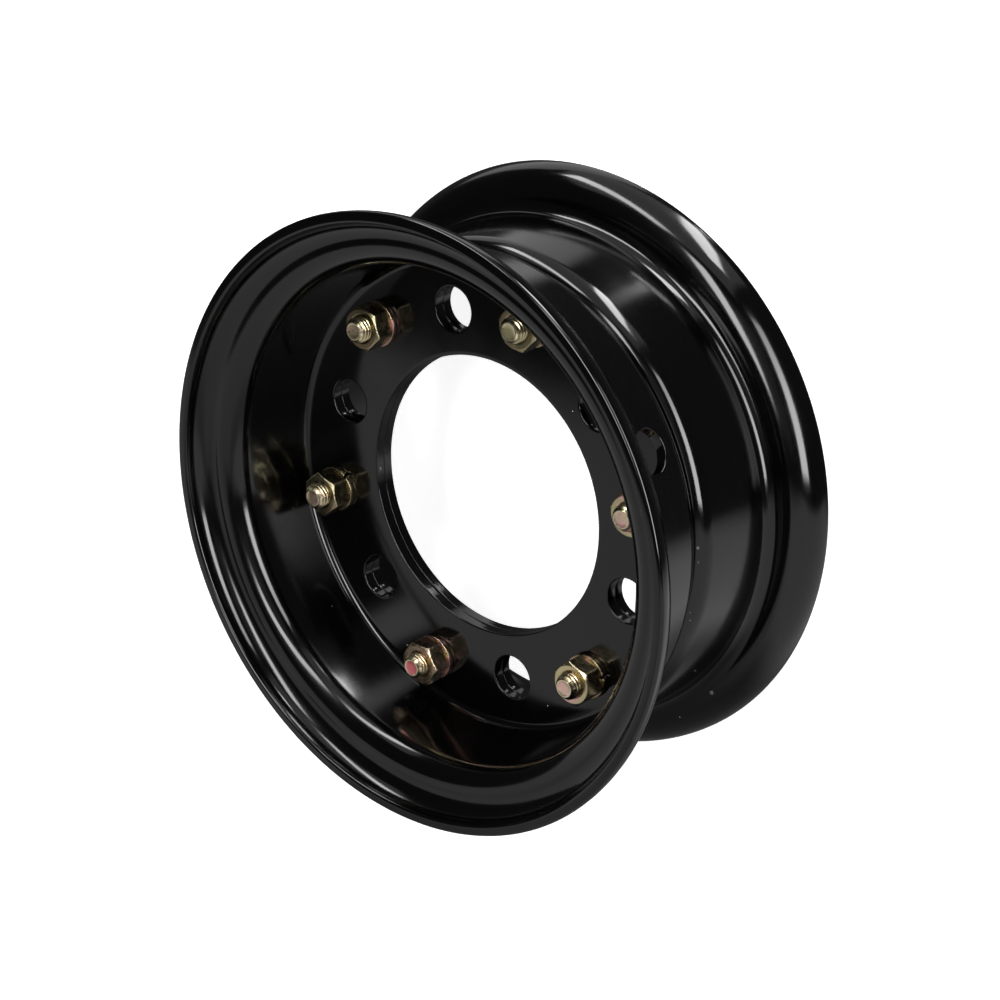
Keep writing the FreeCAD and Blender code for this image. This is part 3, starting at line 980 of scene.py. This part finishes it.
class RIM_OT_nuts(Operator):
    """Replace the clamp nuts with chamfered, plated ones"""
    bl_idname = "rim.nuts"
    bl_label = "Clamp nuts"

    def execute(self, context):
        sizes, fasteners, colours = sizes_of(context)
        shell, wear = nut_shell(fasteners, NUT_LOW[2], NUT_HIGH[2])
        finish = yellow_zinc(colours, "yellow_zinc_nuts", NUT_ROUGH)
        everywhere = np.ones(len(shell[0]))
        copies = round_bolts(sizes, shell, NUT_TURNS)
        # The painted highlight on the nuts' edges goes in as its own mark, and the tarnished share is kept
        # off it
        piece("clamp_nuts_plated", "clamp_nuts", finish, copies,
              marks={"tarnish": marked(NUT_TARNISH, 1 - wear), "blush": marked(NUT_BLUSH, everywhere),
                     "wear": marked((1.0,), wear)})
        return {"FINISHED"}


class RIM_OT_washers(Operator):
    """Replace the spring washers with split rings that have rounded edges"""
    bl_idname = "rim.washers"
    bl_label = "Spring washers"

    def execute(self, context):
        sizes, fasteners, colours = sizes_of(context)
        shell = washer_shell(fasteners, WASHER_LOW[2], WASHER_HIGH[2])
        finish = yellow_zinc(colours, "yellow_zinc_washers", WASHER_ROUGH)
        everywhere = np.ones(len(shell[0]))
        copies = round_bolts(sizes, shell, SLIT_TURNS)
        piece("spring_washers_plated", "spring_washers", finish, copies,
              marks={"tarnish": marked(WASHER_TARNISH, everywhere),
                     "blush": marked(WASHER_BLUSH, everywhere)})
        return {"FINISHED"}


class RIM_OT_bolts(Operator):
    """Replace the clamp bolts with threaded ones"""
    bl_idname = "rim.bolts"
    bl_label = "Clamp bolts"

    def execute(self, context):
        sizes, fasteners, colours = sizes_of(context)
        shell, face, bare_and_highlight, dulling_and_shade = bolt_shell(
            fasteners, BOLT_LOW[2], BOLT_HIGH[2], -sizes.sheet, NUT_HIGH[2] - THREAD_INSIDE)
        finish = yellow_zinc(colours, "yellow_zinc_bolts", BOLT_ROUGH)
        # Painted shade in the thread roots is added to each end's tarnished share
        tarnish = [end + dulling_and_shade * ROOT_SHADE for end in marked(END_TARNISH, face)]
        copies = round_bolts(sizes, shell, (HEAD_TURN,))
        piece("clamp_bolts_plated", "clamp_bolts", finish, copies, crease=BOLT_CREASE,
              marks={"tarnish": tarnish, "blush": marked(END_BLUSH, face, THREAD_BLUSH),
                     "wear": marked((1.0,), bare_and_highlight), "haze": marked((1.0,), face)})
        return {"FINISHED"}


class RIM_OT_stage(Operator):
    """Set up the floor, the studio's cards, the world and the camera"""
    bl_idname = "rim.stage"
    bl_label = "Stage"

    def execute(self, context):
        context.scene.view_settings.view_transform = "Standard"
        floor()
        studio()
        world()
        camera()
        return {"FINISHED"}


class RIM_PT_sidebar(Panel):
    """Lists the rim's pieces and sizes"""
    bl_label = "Wheel rim"
    bl_idname = "RIM_PT_sidebar"
    bl_space_type = "VIEW_3D"
    bl_region_type = "UI"
    bl_category = "Rim"

    def draw(self, context):
        for operator in PIECES:
            self.layout.operator(operator.bl_idname)
        for group in sizes_of(context):
            box = self.layout.box()
            for name in group.__annotations__:
                box.prop(group, name)


PIECES = (RIM_OT_halves, RIM_OT_washers, RIM_OT_nuts, RIM_OT_bolts, RIM_OT_stage)
GROUPS = {"rim_sizes": RimSizes, "rim_fasteners": FastenerSizes, "rim_colours": FinishColours}


def register():
    for cls in (*GROUPS.values(), *PIECES, RIM_PT_sidebar):
        bpy.utils.register_class(cls)
    for name, group in GROUPS.items():
        setattr(bpy.types.Scene, name, PointerProperty(type=group))


def unregister():
    for name in GROUPS:
        delattr(bpy.types.Scene, name)
    for cls in reversed((*GROUPS.values(), *PIECES, RIM_PT_sidebar)):
        bpy.utils.unregister_class(cls)


def main():
    register()
    bpy.ops.rim.halves()
    bpy.ops.rim.washers()
    bpy.ops.rim.nuts()
    bpy.ops.rim.bolts()
    bpy.ops.rim.stage()


if __name__ == "__main__":
    main()
